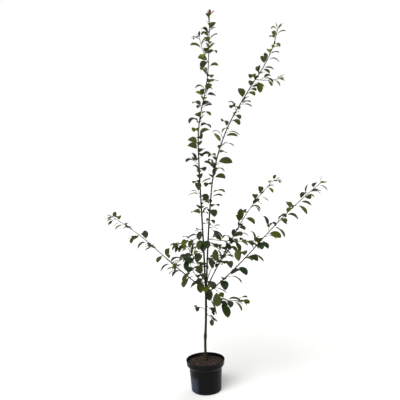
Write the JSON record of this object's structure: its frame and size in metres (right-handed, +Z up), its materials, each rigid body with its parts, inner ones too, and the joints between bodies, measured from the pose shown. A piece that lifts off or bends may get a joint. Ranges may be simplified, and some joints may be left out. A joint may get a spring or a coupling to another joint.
{
  "type": "potted opal plum tree",
  "caption": "Young grafted plum tree in a round nursery pot: a slim trunk, two tall leading stems, long side shoots low down, and open foliage along every shoot.",
  "frame": {"origin": "centre of the pot's flat underside", "axes": "+Z up along the trunk, -Y towards the viewer's side, +X towards the viewer's right"},
  "size_m": [1.3418, 0.8599, 2.3293],
  "materials": {
    "pot": "satin",
    "soil": "rough",
    "bark": "matte",
    "foliage": "satin"
  },
  "bodies": {
    "root": {"pot": "pot", "soil": "soil", "trunk": "bark", "leader_bough": "bark", "second_bough": "bark", "left_long_bough": "bark", "right_long_bough": "bark", "right_inner_bough": "bark", "leader_foliage": "foliage", "second_foliage": "foliage", "left_long_foliage": "foliage", "right_long_foliage": "foliage", "right_inner_foliage": "foliage", "front_left_foliage": "foliage", "front_right_foliage": "foliage", "right_low_foliage": "foliage", "back_left_foliage": "foliage", "back_right_foliage": "foliage", "left_middle_foliage": "foliage", "left_upper_foliage": "foliage", "right_short_foliage": "foliage", "right_level_foliage": "foliage", "low_left_spur_foliage": "foliage", "low_right_spur_foliage": "foliage", "front_spur_foliage": "foliage", "leader_low_spur_foliage": "foliage", "leader_mid_spur_foliage": "foliage", "leader_right_spur_foliage": "foliage", "second_low_spur_foliage": "foliage", "second_back_spur_foliage": "foliage"}
  },
  "joints": []
}
